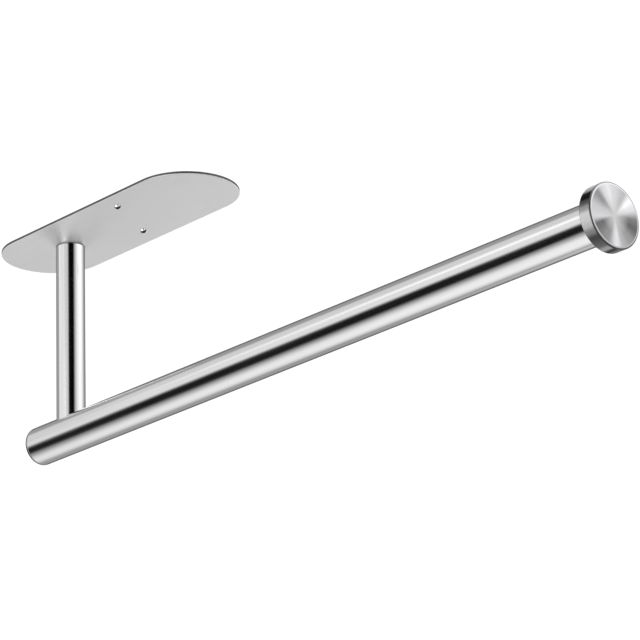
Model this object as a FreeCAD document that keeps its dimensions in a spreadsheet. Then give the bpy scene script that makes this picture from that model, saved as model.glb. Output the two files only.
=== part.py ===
import FreeCAD, Part
import math
import os
import Sketcher
from FreeCAD import Placement, Rotation, Vector

# Under-cabinet paper towel holder in stainless steel, millimetres.
#
# A thin plate with round ends is held to the underside of a cabinet by an adhesive sheet, which
# two small domed rivets in the plate keep in place. A tube post hangs from the plate and carries
# a level tube bar, open to one side so that a roll slides on over the end cap. One long screw
# goes down through the plate, a bush and the post into a cross-drilled nut inside the bar, and
# clamps all of them together.
#
# Frame: origin at the middle of the top face of the adhesive, which meets the cabinet.
# +X runs along the bar to its free end, +Y to the back of the cabinet, +Z up.

SIZES = (
    ("plate_length", 130.0, "mounting plate, tip to tip"),
    ("plate_width", 44.0, "mounting plate, across; its ends are half circles of this width"),
    ("plate_thickness", 1.2, "sheet of the mounting plate"),
    ("plate_edge_round", 0.3, "rounding of the plate's outline, both faces"),
    ("adhesive_thickness", 1.2, "double-sided foam sheet"),
    ("adhesive_inset", 4.0, "foam edge inside the plate's edge"),
    ("rivet_shank", 1.2, "locating rivets, where they fill their holes in the plate"),
    ("rivet_head", 2.5, "locating rivets, across the domed head below the plate"),
    ("rivet_head_height", 1.3, "locating rivets, height of the domed head"),
    ("rivet_dome", 1.1, "rounding of the domed head"),
    ("rivet_tail", 1.8, "locating rivets, across the upset tail above the plate"),
    ("rivet_tail_height", 0.4, "locating rivets, height of the tail, inside the foam"),
    ("rivet_clearance", 0.2, "foam round a rivet's tail"),
    ("rivet_a_along", 16.4, "first rivet, from the plate's middle along the bar"),
    ("rivet_a_across", -13.5, "first rivet, from the plate's middle to the back"),
    ("rivet_b_along", 2.0, "second rivet, along the bar"),
    ("rivet_b_across", 11.5, "second rivet, to the back"),
    ("post_from_plate_end", 33.0, "plate's tip to the post's axis"),
    ("post_diameter", 12.0, "post tube, outside"),
    ("post_wall", 1.0, "post tube, wall"),
    ("bar_drop", 82.0, "underside of the plate down to the bar's axis"),
    ("bar_diameter", 16.0, "bar tube, outside"),
    ("bar_wall", 1.0, "bar tube, wall"),
    ("bar_tail", 20.5, "post's axis back to the tail end, plug included"),
    ("bar_reach", 302.0, "post's axis to the back of the end cap"),
    ("cap_diameter", 25.0, "end cap, outside"),
    ("cap_thickness", 5.5, "end cap, back to face"),
    ("cap_bevel", 0.6, "bevel round the cap's face"),
    ("cap_back_bevel", 0.4, "bevel round the cap's back"),
    ("cap_floor", 2.0, "metal left between the cap's threaded hole and its face"),
    ("cap_spigot", 1.5, "length of the cap's spigot, inside the bar"),
    ("spigot_clearance", 0.1, "round the cap's spigot"),
    ("plug_flange", 1.2, "flange of the tail plug, flush with the bar"),
    ("plug_length", 8.0, "part of the tail plug inside the bar"),
    ("plug_edge", 0.4, "edge break of the tail plug's flange"),
    ("lead_in", 0.5, "chamfer that helps a pressed or screwed piece in"),
    ("tie_thread", 5.0, "long tie screw, thread"),
    ("tie_head", 9.0, "tie screw, head across"),
    ("tie_head_height", 0.9, "tie screw, thin head; lower than the foam is thick"),
    ("tie_head_room", 1.0, "round the head, in the foam"),
    ("tie_clearance", 0.25, "round the tie screw, in plate, bush and bar wall"),
    ("tie_past_axis", 2.0, "tip of the tie screw below the bar's axis"),
    ("hex_socket", 3.0, "hexagon sockets, across flats"),
    ("tie_socket_depth", 2.0, "hexagon socket in the tie screw"),
    ("bush_length", 10.0, "bush pressed into the top of the post"),
    ("pip_margin", 0.225, "bush wall left on both sides of the pip that keeps the plate square"),
    ("pip_height", 1.0, "pip above the bush, inside the plate"),
    ("pip_clearance", 0.1, "round the pip"),
    ("nut_length", 14.0, "cross-drilled nut, along the bar"),
    ("nut_clearance", 0.1, "round the nut, inside the bar"),
    ("insert_length", 12.0, "threaded insert pressed into the free end"),
    ("insert_gap", 0.5, "cap's spigot to the insert"),
    ("stud_thread", 6.0, "stud between insert and cap"),
    ("stud_in_insert", 9.0, "stud inside the insert"),
    ("stud_end_gap", 0.5, "stud's tip to the bottom of the cap's hole"),
    ("stud_socket_depth", 3.0, "hexagon socket in the stud"),
)

# Places and sizes that follow from the sheet, as expressions.
POST_X = "sizes.post_from_plate_end - sizes.plate_length / 2"
PLATE_TOP = "-sizes.adhesive_thickness"
PLATE_UNDERSIDE = "-(sizes.adhesive_thickness + sizes.plate_thickness)"
BAR_Z = f"{PLATE_UNDERSIDE} - sizes.bar_drop"
TAIL_X = f"{POST_X} - sizes.bar_tail"
SEAT_X = f"{POST_X} + sizes.bar_reach"
BAR_RADIUS = "sizes.bar_diameter / 2"
BORE_RADIUS = "(sizes.bar_diameter / 2 - sizes.bar_wall)"
POST_BORE_RADIUS = "(sizes.post_diameter / 2 - sizes.post_wall)"
TIE_RADIUS = "sizes.tie_thread / 2"
TIE_HOLE_RADIUS = "(sizes.tie_thread / 2 + sizes.tie_clearance)"
PIP_OFFSET = f"({TIE_HOLE_RADIUS} + {POST_BORE_RADIUS}) / 2"
PIP_RADIUS = f"(({POST_BORE_RADIUS} - {TIE_HOLE_RADIUS}) / 2 - sizes.pip_margin)"
HEX_CORNER_RADIUS = "sizes.hex_socket / sqrt(3)"
STUD_RADIUS = "sizes.stud_thread / 2"
CAP_HOLE_END = "(sizes.cap_thickness - sizes.cap_floor)"

ALONG_X = Rotation(Vector(0, 1, 0), 90)

doc = FreeCAD.newDocument("paper_towel_holder")
sub_parts = []


# ---- small helpers ----

def fill_sheet():
    sheet = doc.addObject("Spreadsheet::Sheet", "sizes")
    for row, (alias, value, meaning) in enumerate(SIZES, start=1):
        sheet.set(f"A{row}", meaning)
        sheet.set(f"B{row}", str(value))
        sheet.setAlias(f"B{row}", alias)
    doc.recompute()
    return sheet


def bind(made, **expressions):
    for name, expression in expressions.items():
        made.setExpression(name.replace("__", "."), expression)
    return made


def place(made, x="0", y="0", z="0", turn=None):
    """Put an object's origin at x, y, z, each an expression, turned if asked."""
    made.Placement = Placement(Vector(0, 0, 0), turn or Rotation())
    for axis, expression in (("x", x), ("y", y), ("z", z)):
        if expression != "0":
            made.setExpression(f"Placement.Base.{axis}", expression)
    return made


def finished(made, label):
    made.Label = label
    sub_parts.append(made)
    return made


def new_body(name):
    return doc.addObject("PartDesign::Body", name)


def sketch_on(body, plane, name):
    sketch = body.newObject("Sketcher::SketchObject", name)
    support = [feature for feature in body.Origin.OriginFeatures if feature.Role == plane]
    sketch.AttachmentSupport = [(support[0], "")]
    sketch.MapMode = "FlatFace"
    return sketch


def fix_point(sketch, line, end, x, y):
    """Hold one end of a line, or a circle's centre, at x, y, each an expression or "0"."""
    point = sketch.getPoint(line, end)
    for axis, kind, value, expression in ((-2, "DistanceX", point.x, x), (-1, "DistanceY", point.y, y)):
        if expression == "0":
            sketch.addConstraint(Sketcher.Constraint("PointOnObject", line, end, axis))
        else:
            number = sketch.addConstraint(Sketcher.Constraint(kind, -1, 1, line, end, value))
            sketch.setExpression(f"Constraints[{number}]", expression)


def draw_polygon(sketch, corners):
    """A closed outline through corners, each a pair of expressions."""
    count = len(corners)
    rough = []
    for number in range(count):
        turn = 2 * math.pi * number / count
        rough.append(Vector(20 + 10 * math.cos(turn), 20 + 10 * math.sin(turn), 0))
    for number in range(count):
        sketch.addGeometry(Part.LineSegment(rough[number], rough[(number + 1) % count]), False)
    for number in range(count):
        sketch.addConstraint(Sketcher.Constraint("Coincident", number, 2, (number + 1) % count, 1))
    for number, (x, y) in enumerate(corners):
        fix_point(sketch, number, 1, x, y)


def draw_circle(sketch, x, y, radius):
    line = sketch.addGeometry(Part.Circle(Vector(5, 5, 0), Vector(0, 0, 1), 2), False)
    fix_point(sketch, line, 3, x, y)
    number = sketch.addConstraint(Sketcher.Constraint("Radius", line, 2))
    sketch.setExpression(f"Constraints[{number}]", radius)


def draw_stadium(sketch, length, width):
    """Two half circles joined by two straight sides, centred on the origin."""
    reach, radius = 40.0, 20.0
    up = Vector(0, 0, 1)
    right = Part.Circle(Vector(reach, 0, 0), up, radius)
    left = Part.Circle(Vector(-reach, 0, 0), up, radius)
    quarter = math.pi / 2
    sketch.addGeometry(Part.ArcOfCircle(right, -quarter, quarter), False)
    sketch.addGeometry(Part.LineSegment(Vector(reach, radius, 0), Vector(-reach, radius, 0)), False)
    sketch.addGeometry(Part.ArcOfCircle(left, quarter, 3 * quarter), False)
    sketch.addGeometry(Part.LineSegment(Vector(-reach, -radius, 0), Vector(reach, -radius, 0)), False)
    for first, second in ((0, 1), (1, 2), (2, 3), (3, 0)):
        sketch.addConstraint(Sketcher.Constraint("Tangent", first, 2, second, 1))
    sketch.addConstraint(Sketcher.Constraint("Horizontal", 1))
    sketch.addConstraint(Sketcher.Constraint("PointOnObject", 0, 3, -1))
    sketch.addConstraint(Sketcher.Constraint("Symmetric", 0, 3, 2, 3, -1, 1))
    end_radius = sketch.addConstraint(Sketcher.Constraint("Radius", 0, radius))
    sketch.setExpression(f"Constraints[{end_radius}]", f"({width}) / 2")
    centres = sketch.addConstraint(Sketcher.Constraint("DistanceX", 2, 3, 0, 3, 2 * reach))
    sketch.setExpression(f"Constraints[{centres}]", f"({length}) - ({width})")


def pad_up(body, sketch, name, height):
    pad = body.newObject("PartDesign::Pad", name)
    pad.Profile = sketch
    pad.setExpression("Length", height)
    sketch.Visibility = False
    return pad


def cut_up_through(body, sketch, name):
    """Cut a sketch at the foot of a body up through all of it."""
    doc.recompute()
    before = body.Shape.Volume
    pocket = body.newObject("PartDesign::Pocket", name)
    pocket.Profile = sketch
    pocket.Type = "ThroughAll"
    pocket.Reversed = True
    doc.recompute()
    if not body.Shape.Volume < before:
        raise RuntimeError(f"{name} cut nothing")
    return pocket


def turned(name, axis, corners):
    """A body turned about its own X or Z axis; corners are pairs of expressions in the XZ plane."""
    body = new_body(name)
    sketch = sketch_on(body, "XZ_Plane", f"{name}_profile")
    draw_polygon(sketch, corners)
    revolution = body.newObject("PartDesign::Revolution", f"{name}_turning")
    revolution.Profile = sketch
    revolution.ReferenceAxis = (sketch, ["H_Axis" if axis == "X" else "V_Axis"])
    revolution.Angle = 360
    doc.recompute()
    return body


def cylinder(name, radius, height):
    return bind(doc.addObject("Part::Cylinder", name), Radius=radius, Height=height)


def cut(name, base, tool):
    made = doc.addObject("Part::Cut", name)
    made.Base = base
    made.Tool = tool
    return made


def hex_socket(name, depth):
    made = doc.addObject("Part::Prism", name)
    made.Polygon = 6
    return bind(made, Circumradius=HEX_CORNER_RADIUS, Height=depth)


# ---- the pieces ----

def mounting_plate():
    """Sheet plate with round ends: tie screw hole, pip hole and two rivet holes."""
    body = new_body("mounting_plate_body")
    outline = sketch_on(body, "XY_Plane", "plate_outline")
    draw_stadium(outline, "sizes.plate_length", "sizes.plate_width")
    sheet_metal = pad_up(body, outline, "plate_sheet", "sizes.plate_thickness")
    doc.recompute()

    rounded = body.newObject("PartDesign::Fillet", "plate_edges")
    flat = [f"Edge{number}" for number, edge in enumerate(sheet_metal.Shape.Edges, start=1)
            if edge.BoundBox.ZLength < 0.01]
    rounded.Base = (sheet_metal, flat)
    rounded.setExpression("Radius", "sizes.plate_edge_round")

    holes = sketch_on(body, "XY_Plane", "plate_holes")
    draw_circle(holes, POST_X, "0", TIE_HOLE_RADIUS)
    draw_circle(holes, f"{POST_X} - {PIP_OFFSET}", "0", f"{PIP_RADIUS} + sizes.pip_clearance")
    for letter in "ab":
        draw_circle(holes, f"sizes.rivet_{letter}_along", f"sizes.rivet_{letter}_across",
                    "sizes.rivet_shank / 2")
    cut_up_through(body, holes, "plate_drilling")
    finished(place(body, z=PLATE_UNDERSIDE), "mounting_plate")


def locating_rivet(letter):
    """Small rivet closed through the plate, domed below; local Z is 0 at the plate's underside."""
    top = "sizes.plate_thickness"
    body = turned(f"locating_rivet_{letter}_body", "Z", (
        ("0", "-sizes.rivet_head_height"),
        ("sizes.rivet_head / 2", "-sizes.rivet_head_height"),
        ("sizes.rivet_head / 2", "0"),
        ("sizes.rivet_shank / 2", "0"),
        ("sizes.rivet_shank / 2", top),
        ("sizes.rivet_tail / 2", top),
        ("sizes.rivet_tail / 2", f"{top} + sizes.rivet_tail_height"),
        ("0", f"{top} + sizes.rivet_tail_height"),
    ))
    blank = body.Tip
    height = size("rivet_head_height")
    rim = [f"Edge{number}" for number, edge in enumerate(blank.Shape.Edges, start=1)
           if abs(edge.BoundBox.ZMax + height) < 0.01 and abs(edge.BoundBox.ZMin + height) < 0.01]
    dome = body.newObject("PartDesign::Fillet", f"locating_rivet_{letter}_dome")
    dome.Base = (blank, rim)
    dome.setExpression("Radius", "sizes.rivet_dome")
    doc.recompute()
    if not body.Shape.Volume < blank.Shape.Volume:
        raise RuntimeError("the rivet's head has no dome")
    finished(place(body, x=f"sizes.rivet_{letter}_along", y=f"sizes.rivet_{letter}_across",
                   z=PLATE_UNDERSIDE), f"locating_rivet_{letter}")


def adhesive_sheet():
    """Foam sheet set in from the plate's edge, open over the screw head and the rivets' tails."""
    body = new_body("adhesive_sheet_body")
    outline = sketch_on(body, "XY_Plane", "adhesive_outline")
    draw_stadium(outline, "sizes.plate_length - 2 * sizes.adhesive_inset",
                 "sizes.plate_width - 2 * sizes.adhesive_inset")
    pad_up(body, outline, "adhesive_foam", "sizes.adhesive_thickness")
    holes = sketch_on(body, "XY_Plane", "adhesive_holes")
    draw_circle(holes, POST_X, "0", "sizes.tie_head / 2 + sizes.tie_head_room")
    for letter in "ab":
        draw_circle(holes, f"sizes.rivet_{letter}_along", f"sizes.rivet_{letter}_across",
                    "sizes.rivet_tail / 2 + sizes.rivet_clearance")
    cut_up_through(body, holes, "adhesive_punching")
    finished(place(body, z=PLATE_TOP), "adhesive_sheet")


def tie_screw():
    """Long screw with a thin head, dropped in from above; local Z is 0 under the head."""
    length = "sizes.plate_thickness + sizes.bar_drop + sizes.tie_past_axis"
    blank = turned("tie_screw_blank", "Z", (
        ("0", f"-({length})"),
        (f"{TIE_RADIUS} - sizes.lead_in", f"-({length})"),
        (TIE_RADIUS, f"sizes.lead_in - ({length})"),
        (TIE_RADIUS, "0"),
        ("sizes.tie_head / 2", "0"),
        ("sizes.tie_head / 2", "sizes.tie_head_height"),
        ("0", "sizes.tie_head_height"),
    ))
    socket = hex_socket("tie_screw_socket", "sizes.tie_socket_depth")
    place(socket, z="sizes.tie_head_height - sizes.tie_socket_depth")
    screw = cut("tie_screw_socketed", blank, socket)
    finished(place(screw, x=POST_X, z=PLATE_TOP), "tie_screw")


def post_bush():
    """Bush pressed into the top of the post; its pip keeps the plate square to the bar."""
    ring = turned("post_bush_ring", "Z", (
        (TIE_HOLE_RADIUS, "0"),
        (POST_BORE_RADIUS, "0"),
        (POST_BORE_RADIUS, "sizes.lead_in - sizes.bush_length"),
        (f"{POST_BORE_RADIUS} - sizes.lead_in", "-sizes.bush_length"),
        (TIE_HOLE_RADIUS, "-sizes.bush_length"),
    ))
    pip = place(cylinder("post_bush_pip", PIP_RADIUS, "sizes.pip_height + sizes.lead_in"),
                x=f"-{PIP_OFFSET}", z="-sizes.lead_in")
    bush = doc.addObject("Part::Fuse", "post_bush_with_pip")
    bush.Base = ring
    bush.Tool = pip
    finished(place(bush, x=POST_X, z=PLATE_UNDERSIDE), "post_bush")


def post_tube():
    """Tube from the plate down to the bar, its foot coped to sit on the bar."""
    tube = cut("post_tube_bored",
               place(cylinder("post_tube_outside", "sizes.post_diameter / 2", "sizes.bar_drop"),
                     z="-sizes.bar_drop"),
               place(cylinder("post_tube_bore", POST_BORE_RADIUS, "sizes.bar_drop"),
                     z="-sizes.bar_drop"))
    saddle = place(cylinder("post_saddle", BAR_RADIUS, "2 * sizes.post_diameter"),
                   x="-sizes.post_diameter", z="-sizes.bar_drop", turn=ALONG_X)
    post = cut("post_tube_coped", tube, saddle)
    finished(place(post, x=POST_X, z=PLATE_UNDERSIDE), "post_tube")


def towel_bar():
    """Tube from the tail plug to the cap, with one hole in its top for the tie screw."""
    length = "sizes.bar_tail + sizes.bar_reach - sizes.plug_flange"
    tube = cut("towel_bar_bored",
               place(cylinder("towel_bar_outside", BAR_RADIUS, length), turn=ALONG_X),
               place(cylinder("towel_bar_bore", BORE_RADIUS, length), turn=ALONG_X))
    hole = place(cylinder("towel_bar_tie_hole", TIE_HOLE_RADIUS, "sizes.bar_diameter"),
                 x="sizes.bar_tail - sizes.plug_flange")
    bar = cut("towel_bar_drilled", tube, hole)
    finished(place(bar, x=f"{TAIL_X} + sizes.plug_flange", z=BAR_Z), "towel_bar")


def tie_nut():
    """Round nut that slides into the bar and takes the tie screw across its middle."""
    blank = place(cylinder("tie_nut_blank", f"{BORE_RADIUS} - sizes.nut_clearance", "sizes.nut_length"),
                  x="-sizes.nut_length / 2", turn=ALONG_X)
    thread = place(cylinder("tie_nut_thread", TIE_RADIUS, "sizes.bar_diameter"),
                   z=f"-{BAR_RADIUS}")
    nut = cut("tie_nut_drilled", blank, thread)
    finished(place(nut, x=POST_X, z=BAR_Z), "tie_nut")


def tail_plug():
    """Plug pressed into the tail end, its flange flush with the bar."""
    end = "sizes.plug_flange + sizes.plug_length"
    plug = turned("tail_plug_body", "X", (
        ("0", "0"),
        ("0", f"{BAR_RADIUS} - sizes.plug_edge"),
        ("sizes.plug_edge", BAR_RADIUS),
        ("sizes.plug_flange", BAR_RADIUS),
        ("sizes.plug_flange", BORE_RADIUS),
        (f"{end} - sizes.lead_in", BORE_RADIUS),
        (end, f"{BORE_RADIUS} - sizes.lead_in"),
        (end, "0"),
    ))
    finished(place(plug, x=TAIL_X, z=BAR_Z), "tail_plug")


def bar_insert():
    """Threaded insert pressed into the free end, just clear of the cap's spigot."""
    back = "sizes.cap_spigot + sizes.insert_gap + sizes.insert_length"
    face = "-(sizes.cap_spigot + sizes.insert_gap)"
    insert = turned("bar_insert_body", "X", (
        (face, STUD_RADIUS),
        (face, BORE_RADIUS),
        (f"sizes.lead_in - ({back})", BORE_RADIUS),
        (f"-({back})", f"{BORE_RADIUS} - sizes.lead_in"),
        (f"-({back})", STUD_RADIUS),
    ))
    finished(place(insert, x=SEAT_X, z=BAR_Z), "bar_insert")


def cap_stud():
    """Headless screw between the insert and the cap; local X is 0 at the back of the cap."""
    tail = "-(sizes.cap_spigot + sizes.insert_gap + sizes.stud_in_insert)"
    tip = f"{CAP_HOLE_END} - sizes.stud_end_gap"
    blank = turned("cap_stud_blank", "X", (
        (tail, "0"),
        (tail, f"{STUD_RADIUS} - sizes.lead_in"),
        (f"{tail} + sizes.lead_in", STUD_RADIUS),
        (f"{tip} - sizes.lead_in", STUD_RADIUS),
        (tip, f"{STUD_RADIUS} - sizes.lead_in"),
        (tip, "0"),
    ))
    socket = hex_socket("cap_stud_socket", "sizes.stud_socket_depth")
    place(socket, x=f"{tip} - sizes.stud_socket_depth", turn=ALONG_X)
    stud = cut("cap_stud_socketed", blank, socket)
    finished(place(stud, x=SEAT_X, z=BAR_Z), "cap_stud")


def end_cap():
    """Turned disc, wider than the bar, with a spigot and a blind threaded hole behind."""
    spigot_radius = f"{BORE_RADIUS} - sizes.spigot_clearance"
    cap = turned("end_cap_body", "X", (
        ("-sizes.cap_spigot", STUD_RADIUS),
        ("-sizes.cap_spigot", spigot_radius),
        ("0", spigot_radius),
        ("0", "sizes.cap_diameter / 2 - sizes.cap_back_bevel"),
        ("sizes.cap_back_bevel", "sizes.cap_diameter / 2"),
        ("sizes.cap_thickness - sizes.cap_bevel", "sizes.cap_diameter / 2"),
        ("sizes.cap_thickness", "sizes.cap_diameter / 2 - sizes.cap_bevel"),
        ("sizes.cap_thickness", "0"),
        (CAP_HOLE_END, "0"),
        (CAP_HOLE_END, STUD_RADIUS),
    ))
    finished(place(cap, x=SEAT_X, z=BAR_Z), "end_cap")


# ---- build, check, write ----

def check_document():
    doc.recompute()
    for made in doc.Objects:
        if "Invalid" in made.State or "Error" in made.State:
            raise RuntimeError(f"{made.Name} failed: {made.State}")
        if made.TypeId == "Sketcher::SketchObject" and not made.FullyConstrained:
            raise RuntimeError(f"{made.Name} is not fully constrained")
    for made in sub_parts:
        shape = made.Shape
        if shape.isNull() or not shape.isValid() or len(shape.Solids) != 1:
            raise RuntimeError(f"{made.Label} is not one valid solid")


def write_parts():
    os.makedirs("parts", exist_ok=True)
    for made in sub_parts:
        made.Shape.exportStep(os.path.join("parts", f"{made.Label}.step"))
        box = made.Shape.BoundBox
        print(f"{made.Label}: {box.XLength:.2f} x {box.YLength:.2f} x {box.ZLength:.2f} mm, "
              f"{made.Shape.Volume:.0f} mm3")


sizes = fill_sheet()


def size(alias):
    return float(sizes.get(alias))


for make in (mounting_plate, adhesive_sheet, tie_screw, post_bush, post_tube, towel_bar, tie_nut,
             tail_plug, bar_insert, cap_stud, end_cap):
    make()
for letter in "ab":
    locating_rivet(letter)
check_document()
write_parts()
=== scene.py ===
import math

import bmesh
import bpy
from mathutils import Matrix, Vector


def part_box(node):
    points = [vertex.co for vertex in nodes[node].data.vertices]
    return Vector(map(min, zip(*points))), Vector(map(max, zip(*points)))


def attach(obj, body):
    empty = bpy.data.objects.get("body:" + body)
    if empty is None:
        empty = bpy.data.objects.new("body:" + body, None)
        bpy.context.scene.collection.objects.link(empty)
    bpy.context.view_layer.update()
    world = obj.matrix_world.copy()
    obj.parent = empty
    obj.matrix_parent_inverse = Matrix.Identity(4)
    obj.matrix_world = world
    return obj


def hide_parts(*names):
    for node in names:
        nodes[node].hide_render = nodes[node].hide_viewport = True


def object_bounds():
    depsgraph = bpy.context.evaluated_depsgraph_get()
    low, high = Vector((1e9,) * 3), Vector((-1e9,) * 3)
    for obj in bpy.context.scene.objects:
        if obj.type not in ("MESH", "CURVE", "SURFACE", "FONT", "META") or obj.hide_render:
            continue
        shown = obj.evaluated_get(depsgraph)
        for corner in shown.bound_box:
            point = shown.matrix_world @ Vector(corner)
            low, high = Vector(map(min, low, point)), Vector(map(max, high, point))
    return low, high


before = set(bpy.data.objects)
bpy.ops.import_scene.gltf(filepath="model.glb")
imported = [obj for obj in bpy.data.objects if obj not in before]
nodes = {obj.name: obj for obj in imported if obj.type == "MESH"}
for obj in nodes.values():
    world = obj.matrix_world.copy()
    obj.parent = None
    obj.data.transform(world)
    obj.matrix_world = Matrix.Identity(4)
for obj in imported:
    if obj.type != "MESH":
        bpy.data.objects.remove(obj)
cad_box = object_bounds()

# An under-cabinet paper towel holder: a satin plate with round ends, a polished tube post and a
# level bar, closed by a plug at its tail and by a wider, spun cap at its free end.

MM = 0.001

# ---- camera: a long lens, low and to the right, looking up under the cabinet ----

CAMERA_PLACE = (1.0499, -0.8447, -0.5311)
CAMERA_TURN = math.radians(47.708)
CAMERA_TILT = math.radians(19.816)
CAMERA_ROLL = math.radians(-1.714)
CAMERA_LENS = 197.8

FLOOR_DROP = 0.45      # below the lowest point of the holder
FLOOR_SIZE = 12.0

# ---- making sizes that the frame doesn't give ----

TUBE_WALL = 1.0 * MM
EDGE_EASE = 0.12 * MM         # sharp edges are eased this much
EASE_SEGMENTS = 3
EASED_ABOVE = math.radians(35)
CAP_RIM = 1.05 * MM           # polished rim round the spun face
CAP_RIM_FALL = 0.13 * MM      # how far the rim slopes back from the face
CAP_CORNER = 0.38 * MM        # rounding between rim and side
CAP_DARK_EDGE = 0.14 * MM          # edge beside the corner, painted dark as shade
CAP_BACK_ROUND = 0.5 * MM
CAP_FLOOR = 2.0 * MM          # metal between the threaded hole and the face
SPIGOT_LENGTH = 1.5 * MM      # part of the cap that enters the bar
SPIGOT_CLEARANCE = 0.1 * MM
PLUG_BREAK = 0.4 * MM         # edge break of the plug's flange and nose
PLUG_DARK_EDGE = 0.8 * MM          # part of the flange painted dark as shade
PLUG_FLANGE = 1.2 * MM
PLUG_JOINT = 0.12 * MM        # tiny vee where flange and tube meet
POST_DARK_LINE = 0.45 * MM         # painted dark line where the post meets the plate, part joint and part contact shadow
SUPPORT = 0.03 * MM           # ring that keeps a flat flat beside a rounding
TURNING_STEPS = 192           # facets round a turned piece
ROUNDING_STEPS = 8            # facets across a rounding
MERGE_WITHIN = 0.0005 * MM    # vertices this near to each other are one
SMOOTH_BELOW = math.radians(12)

X, Y, Z = Vector((1, 0, 0)), Vector((0, 1, 0)), Vector((0, 0, 1))


def make_camera():
    data = bpy.data.cameras.new("camera")
    data.lens = CAMERA_LENS
    camera = bpy.data.objects.new("camera", data)
    bpy.context.scene.collection.objects.link(camera)
    level = Matrix.Translation(CAMERA_PLACE) @ Matrix.Rotation(CAMERA_TURN, 4, "Z")
    aimed = level @ Matrix.Rotation(math.pi / 2 + CAMERA_TILT, 4, "X")
    camera.matrix_world = aimed @ Matrix.Rotation(CAMERA_ROLL, 4, "Z")
    bpy.context.scene.camera = camera


# ---- colour and node helpers ----

def linear(hex_colour):
    """An sRGB hex value as linear red, green, blue and full alpha."""
    shades = []
    for start in (0, 2, 4):
        shade = int(hex_colour[start:start + 2], 16) / 255
        shades.append(shade / 12.92 if shade <= 0.04045 else ((shade + 0.055) / 1.055) ** 2.4)
    return (*shades, 1.0)


def add_node(tree, kind, settings=None, **sockets):
    """A node with its settings; each socket, named or _numbered, gets a value or another output."""
    node = tree.nodes.new(kind)
    for name, value in (settings or {}).items():
        setattr(node, name, value)
    for name, value in sockets.items():
        key = int(name[1:]) if name[0] == "_" else name.replace("_", " ")
        if isinstance(value, bpy.types.NodeSocket):
            tree.links.new(value, node.inputs[key])
        else:
            node.inputs[key].default_value = value
    return node


# ---- studio ----

# The camera sees white paper behind the holder; the metal mirrors a grey room with soft lights and
# black cards. Each row: the direction it lies in, the half angle of its full part and the half
# angle at which it has faded out, in degrees, and its brightness or the share that a card hides.
WHITE = (1, 1, 1, 1)
BACK_GLOW = 0.42       # the grey room
PAPER_GLOW = 1.06
SOFT_LIGHTS = {
    "front_left": ((-0.41, -0.87, 0.26), 21, 33, 0.21),
    "high_left": ((-0.56, -0.50, 0.66), 16, 24, 0.43),
    "floor_bounce": ((-0.46, 0.08, -0.88), 3, 39, 0.80),
    "high_right": ((0.48, 0.43, 0.77), 12, 49, 1.44),
    "front": ((-0.13, -0.99, -0.06), 46, 56, 0.37),
    "low_back": ((-0.17, 0.86, -0.48), 18, 34, 1.20),         # lights the plate's underside
    "sparkle": ((0.12, -0.98, -0.08), 13, 23, 4.4),           # hot spot on the rivets' heads
    "strip": ((-0.29, -0.94, -0.14), 5, 17, 2.6),             # front of the cap's side
    "far_right": ((0.95, 0.10, -0.28), 18, 42, 0.55),
}
BLACK_CARDS = {
    "low_left": ((-0.66, -0.68, -0.32), 9.5, 23, 0.985),      # dark line along the bar
    "beside_camera": ((0.78, -0.52, 0.34), 15, 27, 1.0),      # dark line down the post
    "backdrop": ((-0.69, 0.64, 0.34), 10, 38, 0.75),          # grey outline of tubes and plug
    "floor_right": ((0.30, 0.45, -0.84), 18, 34, 0.92),
}


def lobe(tree, direction, toward, full, faded):
    """1 inside the full half angle about toward, falling smoothly to 0 at the faded one."""
    aim = Vector(toward).normalized()
    facing = add_node(tree, "ShaderNodeVectorMath", {"operation": "DOT_PRODUCT"}, _0=direction, _1=aim)
    return add_node(tree, "ShaderNodeMapRange", {"interpolation_type": "SMOOTHSTEP"},
                    Value=facing.outputs["Value"],
                    From_Min=math.cos(math.radians(faded)), From_Max=math.cos(math.radians(full)),
                    To_Min=0.0, To_Max=1.0).outputs["Result"]


def make_studio():
    world = bpy.data.worlds.new("studio")
    bpy.context.scene.world = world
    world.use_nodes = True
    tree = world.node_tree
    tree.nodes.clear()
    direction = add_node(tree, "ShaderNodeTexCoord").outputs["Generated"]
    light = BACK_GLOW
    for toward, full, faded, strength in SOFT_LIGHTS.values():
        shape = lobe(tree, direction, toward, full, faded)
        light = add_node(tree, "ShaderNodeMath", {"operation": "MULTIPLY_ADD"},
                         _0=shape, _1=strength, _2=light).outputs[0]
    for toward, full, faded, hidden in BLACK_CARDS.values():
        shape = lobe(tree, direction, toward, full, faded)
        left = add_node(tree, "ShaderNodeMath", {"operation": "MULTIPLY_ADD"},
                        _0=shape, _1=-hidden, _2=1.0).outputs[0]
        light = add_node(tree, "ShaderNodeMath", {"operation": "MULTIPLY"}, _0=light, _1=left).outputs[0]
    studio = add_node(tree, "ShaderNodeBackground", Color=WHITE, Strength=light).outputs[0]
    paper = add_node(tree, "ShaderNodeBackground", Color=WHITE, Strength=PAPER_GLOW).outputs[0]
    seen = add_node(tree, "ShaderNodeLightPath").outputs["Is Camera Ray"]
    mixed = add_node(tree, "ShaderNodeMixShader", _0=seen, _1=studio, _2=paper).outputs[0]
    add_node(tree, "ShaderNodeOutputWorld", Surface=mixed)
    bpy.context.scene.view_settings.view_transform = "Standard"


# ---- materials ----

def new_material(name, **sockets):
    """A Principled material; returns the material, its tree and its shader node."""
    material = bpy.data.materials.new(name)
    material.use_nodes = True
    tree = material.node_tree
    tree.nodes.clear()
    shader = add_node(tree, "ShaderNodeBsdfPrincipled", **sockets)
    add_node(tree, "ShaderNodeOutputMaterial", Surface=shader.outputs[0])
    return material, tree, shader


def connect(tree, shader, socket, output):
    tree.links.new(output, shader.inputs[socket])


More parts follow.
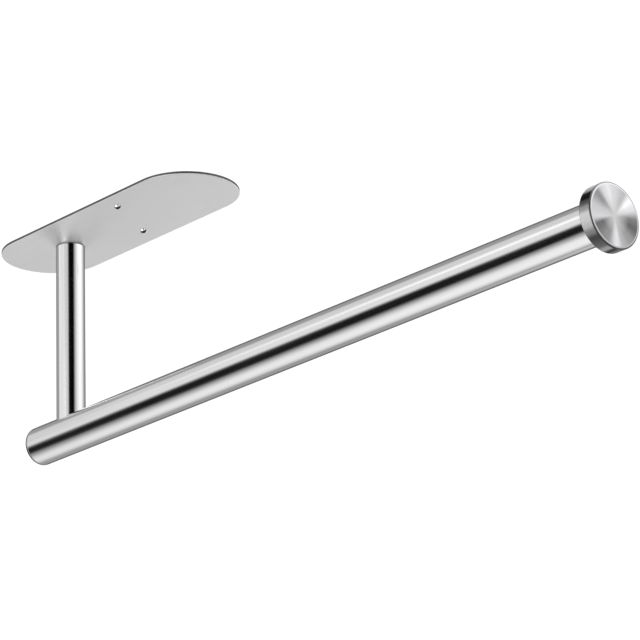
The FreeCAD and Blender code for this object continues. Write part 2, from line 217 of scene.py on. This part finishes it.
def grain(tree, pitch, detail=2.0):
    """Noise whose grain is pitch long in X, Y and Z, each in millimetres."""
    place = add_node(tree, "ShaderNodeTexCoord").outputs["Object"]
    scale = tuple(1 / (length * MM) for length in pitch)
    stretched = add_node(tree, "ShaderNodeMapping", Vector=place, Scale=scale).outputs[0]
    return add_node(tree, "ShaderNodeTexNoise", Vector=stretched, Scale=1.0, Detail=detail).outputs[0]


# The middle part of a noise, which a Map Range node spreads over the range that it is given.
NOISE_SPAN = {"From_Min": 0.3, "From_Max": 0.7}


def colour_with(tree, pattern, dark, light):
    """Colour that runs from one sRGB hex value to another with a pattern of noise."""
    share = add_node(tree, "ShaderNodeMapRange", Value=pattern, **NOISE_SPAN,
                     To_Min=0.0, To_Max=1.0).outputs[0]
    return add_node(tree, "ShaderNodeMix", {"data_type": "RGBA"}, Factor=share,
                    _6=linear(dark), _7=linear(light)).outputs[2]


def finish_with(tree, shader, pattern, smooth, rough, depth=0.0):
    """Roughness, and relief of the given depth, that follow a pattern of noise."""
    roughness = add_node(tree, "ShaderNodeMapRange", Value=pattern, **NOISE_SPAN,
                         To_Min=smooth, To_Max=rough)
    connect(tree, shader, "Roughness", roughness.outputs[0])
    if depth:
        relief = add_node(tree, "ShaderNodeBump", Strength=1.0, Distance=depth, Height=pattern)
        connect(tree, shader, "Normal", relief.outputs[0])


def pale_paper():
    """Matt white paper: even, without a highlight."""
    return new_material("pale_paper", Base_Color=linear("F4F4F4"), Roughness=0.95)[0]


def polished_tube(name, along):
    """Stainless tube, drawn and polished lengthwise: smooth, with faint long streaks."""
    material, tree, shader = new_material(name, Metallic=1.0)
    pitch = tuple(45.0 if axis == along else 0.5 for axis in "XYZ")
    streaks = grain(tree, pitch)
    connect(tree, shader, "Base Color", colour_with(tree, streaks, "DADADB", "DFDFDF"))
    finish_with(tree, shader, streaks, 0.11, 0.15, depth=0.0012 * MM)
    return material


LINES_SHARE = 0.65            # of the sheet's colour change; the rest is broad cloudiness
CUT_EDGE = (0.25, 0.6)        # upright part of the normal, from the cut edge to the flat sheet


def satin_sheet():
    """Satin stainless sheet: fine grain along its length blurs reflections; cut edges are painted dark as
    shade.
    """
    material, tree, shader = new_material("satin_stainless_sheet", Metallic=1.0)
    lines = grain(tree, (22.0, 0.45, 0.45), detail=3.0)
    cloud = grain(tree, (30.0, 18.0, 18.0))
    fine = add_node(tree, "ShaderNodeMath", {"operation": "MULTIPLY"}, _0=lines, _1=LINES_SHARE).outputs[0]
    both = add_node(tree, "ShaderNodeMath", {"operation": "MULTIPLY_ADD"}, _0=cloud,
                    _1=1 - LINES_SHARE, _2=fine).outputs[0]
    metal = colour_with(tree, both, "F0F0F0", "F5F5F5")
    facing = add_node(tree, "ShaderNodeNewGeometry").outputs["Normal"]
    upright = add_node(tree, "ShaderNodeSeparateXYZ", Vector=facing).outputs["Z"]
    level = add_node(tree, "ShaderNodeMath", {"operation": "ABSOLUTE"}, _0=upright).outputs[0]
    # Painted shade: upright faces, the sheet's cut edges, turn dark.
    cut = add_node(tree, "ShaderNodeMapRange", Value=level, From_Min=CUT_EDGE[0], From_Max=CUT_EDGE[1],
                   To_Min=1.0, To_Max=0.0).outputs[0]
    colour = add_node(tree, "ShaderNodeMix", {"data_type": "RGBA"}, Factor=cut, _6=metal,
                      _7=linear("5A5A5C")).outputs[2]
    connect(tree, shader, "Base Color", colour)
    finish_with(tree, shader, lines, 0.52, 0.58, depth=0.004 * MM)
    return material


def turned_steel():
    """Stainless turned on a lathe and lightly polished: fine rings round the piece."""
    material, tree, shader = new_material("turned_stainless", Metallic=1.0)
    rings = grain(tree, (0.35, 60.0, 60.0))
    connect(tree, shader, "Base Color", colour_with(tree, rings, "BEBEC0", "CECED0"))
    finish_with(tree, shader, rings, 0.30, 0.40, depth=0.002 * MM)
    return material


# Painted reflection: bright and dark fans like those that lathe work throws, set into the colour,
# clockwise
# from the top as seen from the free end: degrees, then how bright the metal is painted there, as the eye
# judges it.
FACE_PAINTED_FANS = ((0, 0.76), (30, 0.655), (48, 0.885), (62, 0.80), (90, 0.43), (106, 0.37), (140, 0.56),
             (160, 0.64), (178, 0.81), (205, 0.51), (240, 0.385), (256, 0.75), (275, 0.72), (310, 0.52),
             (330, 0.78), (345, 0.83))
SIDE_PAINTED_FANS = ((0, 1.00), (70, 0.85), (105, 0.50), (125, 0.35), (150, 0.80), (172, 0.50), (181, 0.23),
             (191, 0.75), (203, 0.48), (221, 0.37), (232, 0.68), (243, 0.95), (252, 1.0), (262, 1.0),
             (272, 0.72), (282, 0.40), (291, 0.08), (300, 0.12), (309, 0.75), (330, 1.00))
EDGE_PAINTED_FANS = ((0, 0.50), (40, 0.40), (65, 0.62), (100, 0.50), (150, 0.40), (180, 0.34), (225, 0.31),
             (280, 0.33), (305, 0.45), (330, 0.55))
EYE_TO_LIGHT = 2.2            # power that turns such a brightness into light
STEEL_BLUE = 1.02             # share of blue to red in what the metal throws back
FAN_FADE = (0.7 * MM, 7.0 * MM)     # radii at which the fans begin and are at full strength
MIDDLE_SHADE = 0.72           # of the face, inside the fans
RING_PITCH = 0.4 * MM         # coarser than real tool marks, so that they show
RING_SHADE = (0.90, 1.0)


def round_the_bar(tree):
    """Turn from the top, 0 to 1 clockwise seen from the free end, and distance from the axis."""
    place = add_node(tree, "ShaderNodeTexCoord").outputs["Object"]
    off = add_node(tree, "ShaderNodeVectorMath", {"operation": "SUBTRACT"}, _0=place, _1=bar_axis)
    split = add_node(tree, "ShaderNodeSeparateXYZ", Vector=off.outputs[0])
    angle = add_node(tree, "ShaderNodeMath", {"operation": "ARCTAN2"},
                     _0=split.outputs["Y"], _1=split.outputs["Z"]).outputs[0]
    share = add_node(tree, "ShaderNodeMath", {"operation": "DIVIDE"}, _0=angle, _1=2 * math.pi).outputs[0]
    turn = add_node(tree, "ShaderNodeMath", {"operation": "WRAP"}, _0=share, _1=1.0, _2=0.0).outputs[0]
    flat = add_node(tree, "ShaderNodeCombineXYZ", Y=split.outputs["Y"], Z=split.outputs["Z"]).outputs[0]
    return turn, add_node(tree, "ShaderNodeVectorMath", {"operation": "LENGTH"}, _0=flat).outputs["Value"]


# Painted light and shade: a fan table set into the base colour round the bar's axis.
def painted_fan_colours(tree, turn, fans):
    node = add_node(tree, "ShaderNodeValToRGB", Fac=turn)
    ramp = node.color_ramp
    ramp.interpolation = "EASE"
    stops = [*((degrees / 360, shade) for degrees, shade in fans), (1.0, fans[0][1])]
    while len(ramp.elements) < len(stops):
        ramp.elements.new(0.5)
    # All places come first, because the ramp sorts its stops when one moves.
    for element, (where, _) in zip(ramp.elements, stops):
        element.position = where
    for element, (_, shade) in zip(ramp.elements, stops):
        light = shade ** EYE_TO_LIGHT
        element.color = (light, light, STEEL_BLUE * light, 1)
    return node.outputs[0]


def along_the_rings(tree, shader):
    """Turn the shader's stretched gloss to follow rings round the bar's axis."""
    tangent = add_node(tree, "ShaderNodeTangent", {"direction_type": "RADIAL", "axis": "X"})
    connect(tree, shader, "Tangent", tangent.outputs[0])


def spun_face():
    """Face spun flat under a polishing pad: fine rings and stretched gloss, with fans of light and shade
    painted into its colour.
    """
    material, tree, shader = new_material("spun_stainless_face", Metallic=1.0, Anisotropic=0.6)
    turn, radius = round_the_bar(tree)
    full = add_node(tree, "ShaderNodeMapRange", Value=radius, From_Min=FAN_FADE[0],
                    From_Max=FAN_FADE[1], To_Min=0.0, To_Max=1.0).outputs[0]
    middle_light = MIDDLE_SHADE ** EYE_TO_LIGHT
    # Painted fans of light and shade, fading to an even middle shade near the axis.
    sheen = add_node(tree, "ShaderNodeMix", {"data_type": "RGBA"}, Factor=full,
                     _6=(middle_light, middle_light, middle_light, 1),
                     _7=painted_fan_colours(tree, turn, FACE_PAINTED_FANS)).outputs[2]
    pitch = add_node(tree, "ShaderNodeMath", {"operation": "DIVIDE"}, _0=radius, _1=RING_PITCH).outputs[0]
    rings = add_node(tree, "ShaderNodeTexNoise", {"noise_dimensions": "1D"}, W=pitch, Scale=1.0).outputs[0]
    shade = add_node(tree, "ShaderNodeMapRange", Value=rings, **NOISE_SPAN,
                     To_Min=RING_SHADE[0], To_Max=RING_SHADE[1]).outputs[0]
    ringed = add_node(tree, "ShaderNodeVectorMath", {"operation": "SCALE"}, _0=sheen, Scale=shade)
    connect(tree, shader, "Base Color", ringed.outputs[0])
    finish_with(tree, shader, rings, 0.26, 0.32)
    along_the_rings(tree, shader)
    return material


def turned_side():
    """Side of the cap left as turned: rings round it smear the light along the axis, and fans of light and
    shade are painted into its colour.
    """
    material, tree, shader = new_material("turned_stainless_side", Metallic=1.0, Anisotropic=0.85)
    turn, _ = round_the_bar(tree)
    # Painted fans of light and shade round the side.
    connect(tree, shader, "Base Color", painted_fan_colours(tree, turn, SIDE_PAINTED_FANS))
    finish_with(tree, shader, grain(tree, (0.3, 60.0, 60.0)), 0.52, 0.60)
    along_the_rings(tree, shader)
    return material


def painted_dark_edge():
    """Broken corner painted dark: a narrow line of painted shade beside the polish, in painted fans."""
    material, tree, shader = new_material("stainless_painted_dark_edge", Metallic=1.0)
    turn, _ = round_the_bar(tree)
    # Painted fans of light and shade along the dark edge.
    connect(tree, shader, "Base Color", painted_fan_colours(tree, turn, EDGE_PAINTED_FANS))
    finish_with(tree, shader, grain(tree, (0.6, 0.6, 0.6)), 0.32, 0.44)
    return material


PAINTED_HIGHLIGHT_SIDE = (0.20, -0.66, 0.72)   # the flank of a rivet's head that gets a painted highlight
HIGHLIGHT_COSINES = (-0.05, 0.22)              # cosines to that side where the painted highlight begins and is full


def headed_rivet():
    """Rivet whose domed head has a painted highlight on one flank and is painted dark elsewhere as shade:
    a glint beside a shadow.
    """
    material, tree, shader = new_material("headed_rivet_steel", Metallic=1.0)
    ripple = grain(tree, (0.8, 0.8, 0.8))
    facing = add_node(tree, "ShaderNodeNewGeometry").outputs["Normal"]
    toward = add_node(tree, "ShaderNodeVectorMath", {"operation": "DOT_PRODUCT"}, _0=facing,
                      _1=PAINTED_HIGHLIGHT_SIDE).outputs["Value"]
    painted_highlight = add_node(tree, "ShaderNodeMapRange", {"interpolation_type": "SMOOTHSTEP"}, Value=toward,
                      From_Min=HIGHLIGHT_COSINES[0], From_Max=HIGHLIGHT_COSINES[1], To_Min=0.0, To_Max=1.0).outputs[0]
    # Painted highlight on the flank; painted shade, dark, over the rest of the head.
    colour = add_node(tree, "ShaderNodeMix", {"data_type": "RGBA"}, Factor=painted_highlight,
                      _6=colour_with(tree, ripple, "29292A", "333334"), _7=linear("F4F4F5"))
    connect(tree, shader, "Base Color", colour.outputs[2])
    finish_with(tree, shader, ripple, 0.18, 0.26)
    return material


def zinc_plate():
    """Steel screws with bright zinc: bluish, slightly cloudy."""
    material, tree, shader = new_material("bright_zinc_plated_steel", Metallic=1.0)
    cloud = grain(tree, (1.5, 1.5, 1.5), detail=4.0)
    connect(tree, shader, "Base Color", colour_with(tree, cloud, "B9BEC4", "CDD2D6"))
    finish_with(tree, shader, cloud, 0.24, 0.36)
    return material


def turned_brass():
    """Free-cutting brass, turned: yellow, with fine rings."""
    material, tree, shader = new_material("turned_brass", Metallic=1.0)
    rings = grain(tree, (0.3, 40.0, 40.0))
    connect(tree, shader, "Base Color", colour_with(tree, rings, "C9A55A", "DDBE78"))
    finish_with(tree, shader, rings, 0.2, 0.32, depth=0.01 * MM)
    return material


def cast_aluminium():
    """Die-cast aluminium: dull grey, finely pebbled."""
    material, tree, shader = new_material("die_cast_aluminium", Metallic=1.0)
    pebble = grain(tree, (0.4, 0.4, 0.4), detail=4.0)
    connect(tree, shader, "Base Color", colour_with(tree, pebble, "B4B6B8", "C6C8C9"))
    finish_with(tree, shader, pebble, 0.42, 0.55, depth=0.02 * MM)
    return material


FOAM_CELL = 0.5 * MM          # larger than real cells, so that they show
FOAM_RELIEF = 0.05 * MM


def acrylic_foam():
    """Closed-cell acrylic foam tape: pale grey, matt, with fine cells that show on its cut edge."""
    material, tree, shader = new_material("acrylic_foam_tape")
    cloud = grain(tree, (9.0, 9.0, 9.0))
    connect(tree, shader, "Base Color", colour_with(tree, cloud, "D9D9D5", "DFDFDB"))
    finish_with(tree, shader, cloud, 0.62, 0.75)
    place = add_node(tree, "ShaderNodeTexCoord").outputs["Object"]
    cells = add_node(tree, "ShaderNodeTexVoronoi", Vector=place, Scale=1 / FOAM_CELL).outputs["Distance"]
    relief = add_node(tree, "ShaderNodeBump", Strength=0.6, Distance=FOAM_RELIEF, Height=cells)
    connect(tree, shader, "Normal", relief.outputs[0])
    return material


# ---- modelling helpers ----

def finish_piece(shape, name, materials, replaced):
    """Turn a bmesh into a finished piece that rides on the holder and stands for a CAD node."""
    bmesh.ops.remove_doubles(shape, verts=shape.verts, dist=MERGE_WITHIN)
    bmesh.ops.recalc_face_normals(shape, faces=shape.faces)
    mesh = bpy.data.meshes.new(name)
    shape.to_mesh(mesh)
    shape.free()
    mesh.polygons.foreach_set("use_smooth", [True] * len(mesh.polygons))
    mesh.set_sharp_from_angle(angle=SMOOTH_BELOW)
    for material in materials:
        mesh.materials.append(material)
    piece = bpy.data.objects.new(name, mesh)
    bpy.context.scene.collection.objects.link(piece)
    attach(piece, "root")
    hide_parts(replaced)


def turn_on_lathe(profile, start, axis, closed=False):
    """Spin a profile of (along, radius) pairs round a line from start along axis."""
    shape = bmesh.new()
    side = Z if abs(axis.dot(Z)) < 0.5 else X
    corners = [shape.verts.new(start + axis * along + side * radius) for along, radius in profile]
    pairs = list(zip(corners, corners[1:])) + ([(corners[-1], corners[0])] if closed else [])
    lines = [shape.edges.new(pair) for pair in pairs]
    bmesh.ops.spin(shape, geom=corners + lines, cent=start, axis=axis, angle=2 * math.pi,
                   steps=TURNING_STEPS, use_merge=True)
    bmesh.ops.remove_doubles(shape, verts=shape.verts, dist=MERGE_WITHIN)
    bmesh.ops.recalc_face_normals(shape, faces=shape.faces)
    return shape


def rounding(along, out, radius, start, end):
    """Profile points of a rounded edge about (along, out), angles in degrees from the axis."""
    angles = (math.radians(start + (end - start) * step / ROUNDING_STEPS)
              for step in range(ROUNDING_STEPS + 1))
    return [(along + radius * math.cos(angle), out + radius * math.sin(angle)) for angle in angles]


def ease_edges(shape, ease, keep=None):
    """Round every sharp edge, unless keep says otherwise."""
    sharp = [edge for edge in shape.edges
             if len(edge.link_faces) == 2 and edge.calc_face_angle(0) > EASED_ABOVE
             and not (keep and keep(edge))]
    bmesh.ops.bevel(shape, geom=sharp, offset=ease, offset_type="OFFSET", segments=EASE_SEGMENTS,
                    profile=0.5, affect="EDGES", material=-1, clamp_overlap=True)


def place_of(face):
    """Where a face's middle lies along the bar, and how far it is from the bar's axis."""
    centre = face.calc_center_median()
    return centre.x, math.hypot(centre.y - bar_axis.y, centre.z - bar_axis.z)


def middle(node):
    low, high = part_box(node)
    return (low + high) / 2


# ---- the holder's pieces ----

bar_low, bar_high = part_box("towel_bar")
bar_axis = Vector((0, middle("towel_bar").y, middle("towel_bar").z))
bar_radius = (bar_high.z - bar_low.z) / 2
bore_radius = bar_radius - TUBE_WALL
post_low, post_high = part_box("post_tube")
post_axis = Vector((middle("post_tube").x, middle("post_tube").y, 0))
post_radius = (post_high.y - post_low.y) / 2


def make_towel_bar(steel):
    """Drawn tube with eased ends."""
    start = Vector((bar_low.x, bar_axis.y, bar_axis.z))
    length = bar_high.x - bar_low.x
    shape = turn_on_lathe([(0, bore_radius), (0, bar_radius), (length, bar_radius), (length, bore_radius)],
                          start, X, closed=True)
    ease_edges(shape, EDGE_EASE)
    finish_piece(shape, "towel_bar_tube", [steel], "towel_bar")


def make_post(steel, dark_edge_paint):
    """Tube whose foot is coped to sit on the bar, with a painted dark line, part joint and part contact
    shadow, at the plate.
    """
    start = Vector((post_axis.x, post_axis.y, post_high.z))
    inner = post_radius - TUBE_WALL
    drop = post_high.z - bar_axis.z
    shape = turn_on_lathe([(0, inner), (0, post_radius), (POST_DARK_LINE, post_radius),
                           (drop, post_radius), (drop, inner)], start, -Z, closed=True)
    for corner in shape.verts:
        if corner.co.z < bar_axis.z + EDGE_EASE:
            across = corner.co.y - bar_axis.y
            corner.co.z = bar_axis.z + math.sqrt(bar_radius ** 2 - across ** 2)
    ease_edges(shape, EDGE_EASE / 2, keep=lambda edge: edge.verts[0].co.z < post_high.z - EDGE_EASE)
    # Painted dark line at the top of the post: joint and painted contact shadow.
    for side in shape.faces:
        if side.calc_center_median().z > post_high.z - POST_DARK_LINE:
            side.material_index = 1
    finish_piece(shape, "post_tube_coped", [steel, dark_edge_paint], "post_tube")


def make_tail_plug(steel, dark_edge_paint):
    """Plug with its flange flush with the bar, a painted dark edge and a fine joint line."""
    low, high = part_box("tail_plug")
    start = Vector((low.x, bar_axis.y, bar_axis.z))
    length = high.x - low.x
    outer = rounding(PLUG_BREAK, bar_radius - PLUG_BREAK, PLUG_BREAK, 180, 90)
    shape = turn_on_lathe([(0, 0), (0, bar_radius - PLUG_BREAK - SUPPORT), *outer,
                           (PLUG_DARK_EDGE, bar_radius), (PLUG_FLANGE - PLUG_JOINT, bar_radius),
                           (PLUG_FLANGE, bar_radius - PLUG_JOINT), (PLUG_FLANGE, bore_radius),
                           (length - PLUG_BREAK, bore_radius), (length, bore_radius - PLUG_BREAK),
                           (length, 0)], start, X)
    # Painted dark edge round the flange's rim, as shade.
    for face in shape.faces:
        along, out = place_of(face)
        if along < low.x + PLUG_DARK_EDGE and out > bar_radius - PLUG_BREAK - SUPPORT:
            face.material_index = 1
    finish_piece(shape, "tail_plug_turned", [steel, dark_edge_paint], "tail_plug")


def make_end_cap(side, rim, dark_edge_paint, spun):
    """Turned disc: spun face, polished rim, painted dark edge, turned side, spigot and threaded hole."""
    low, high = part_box("end_cap")
    radius = (high.z - low.z) / 2
    seat = low.x + SPIGOT_LENGTH
    start = Vector((seat, bar_axis.y, bar_axis.z))
    depth = high.x - seat
    stud = (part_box("cap_stud")[1].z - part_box("cap_stud")[0].z) / 2
    spigot = bore_radius - SPIGOT_CLEARANCE
    shoulder = depth - CAP_RIM_FALL
    front = rounding(shoulder - CAP_CORNER, radius - CAP_CORNER, CAP_CORNER, 90, 10)
    back = rounding(CAP_BACK_ROUND, radius - CAP_BACK_ROUND, CAP_BACK_ROUND, 180, 90)
    dark_edge_from = radius - CAP_CORNER - CAP_DARK_EDGE
    rim_from = radius - CAP_RIM
    shape = turn_on_lathe([(depth - CAP_FLOOR, 0), (depth - CAP_FLOOR, stud), (-SPIGOT_LENGTH, stud),
                           (-SPIGOT_LENGTH, spigot - EDGE_EASE), (EDGE_EASE - SPIGOT_LENGTH, spigot),
                           (0, spigot), (0, radius - CAP_BACK_ROUND - SUPPORT), *back,
                           (CAP_BACK_ROUND + SUPPORT, radius), (shoulder - CAP_CORNER - SUPPORT, radius),
                           *front, (shoulder + SUPPORT, dark_edge_from), (depth, rim_from),
                           (depth, rim_from - SUPPORT), (depth, 0)], start, X)
    materials = [side, rim, dark_edge_paint, spun]
    for face in shape.faces:
        along, out = place_of(face)
        if along < seat + shoulder - CAP_CORNER:
            part = side
        # Painted dark band beside the corner, as shade.
        elif out > dark_edge_from:
            part = dark_edge_paint
        elif out > rim_from - SUPPORT / 2:
            part = rim
        else:
            part = spun
        face.material_index = materials.index(part)
    finish_piece(shape, "end_cap_turned", materials, "end_cap")


def make_floor(paper):
    shape = bmesh.new()
    bmesh.ops.create_grid(shape, x_segments=1, y_segments=1, size=FLOOR_SIZE / 2)
    bmesh.ops.translate(shape, verts=shape.verts, vec=(0, 0, cad_box[0].z - FLOOR_DROP))
    mesh = bpy.data.meshes.new("floor")
    shape.to_mesh(mesh)
    shape.free()
    mesh.materials.append(paper)
    floor = bpy.data.objects.new("floor", mesh)
    bpy.context.scene.collection.objects.link(floor)
    floor.visible_glossy = False


make_camera()
make_studio()
make_floor(pale_paper())

turned = turned_steel()
# Material for the painted dark edges and lines.
dull = painted_dark_edge()
make_towel_bar(polished_tube("polished_bar_tube", "X"))
make_post(polished_tube("polished_post_tube", "Z"), dull)
make_tail_plug(turned, dull)
make_end_cap(turned_side(), turned, dull, spun_face())

CAD_FINISHES = (
    (satin_sheet, ["mounting_plate"]),
    (acrylic_foam, ["adhesive_sheet"]),
    (headed_rivet, ["locating_rivet_a", "locating_rivet_b"]),
    (zinc_plate, ["tie_screw", "tie_nut", "cap_stud"]),
    (turned_brass, ["bar_insert"]),
    (cast_aluminium, ["post_bush"]),
)
for make_finish, names in CAD_FINISHES:
    finish = make_finish()
    for name in names:
        mesh = nodes[name].data
        mesh.materials.clear()
        mesh.materials.append(finish)

# The tubes mirror the room, not the plate above them.
for name in ("mounting_plate", "adhesive_sheet", "tie_screw"):
    nodes[name].visible_glossy = False
